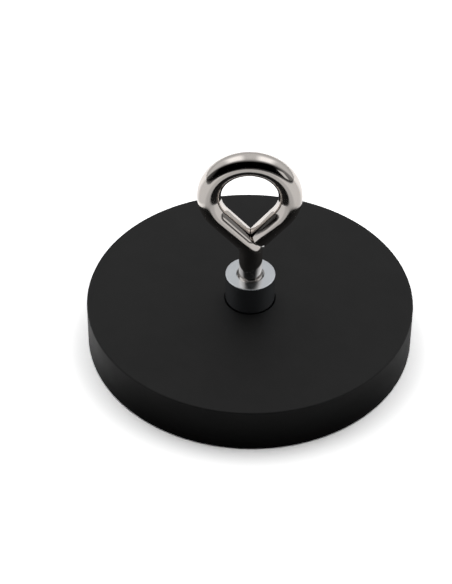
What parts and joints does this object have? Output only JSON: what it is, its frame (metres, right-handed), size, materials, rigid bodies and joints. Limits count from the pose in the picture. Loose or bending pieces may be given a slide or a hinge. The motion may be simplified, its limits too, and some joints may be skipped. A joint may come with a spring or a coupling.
{
  "type": "magnet fishing magnet",
  "caption": "Rubber-coated disc magnet with a threaded bush in its middle and a bent-wire eye bolt screwed into it for a rope.",
  "frame": {"origin": "centre of the disc's flat underside, the face that holds on to steel", "axes": "+Z is the disc's axis and the thread's axis, up towards the eye; the ring of the eye stands in the X-Z plane, and a rope passes through it along Y"},
  "size_m": [0.066, 0.066, 0.0464],
  "materials": {
    "black_rubber": "matte",
    "plate_steel": "satin",
    "zinc_plated_steel": "satin",
    "magnet_nickel": "satin",
    "nickel_plated_wire": "polished"
  },
  "bodies": {
    "magnet_base": {"rubber_coating": "black_rubber", "steel_plate": "plate_steel", "threaded_bush": "zinc_plated_steel", "magnet_01": "magnet_nickel", "magnet_02": "magnet_nickel", "magnet_03": "magnet_nickel", "magnet_04": "magnet_nickel", "magnet_05": "magnet_nickel", "magnet_06": "magnet_nickel", "magnet_07": "magnet_nickel", "magnet_08": "magnet_nickel", "magnet_09": "magnet_nickel", "magnet_10": "magnet_nickel"},
    "eye_bolt": {"eye_bolt": "nickel_plated_wire"}
  },
  "joints": [
    {"name": "eye_bolt_turn", "type": "hinge", "parent": "magnet_base", "child": "eye_bolt", "pos_m": [0, 0, 0.0162], "axis": [0, 0, 1], "range_deg": [0, 3330]}
  ]
}
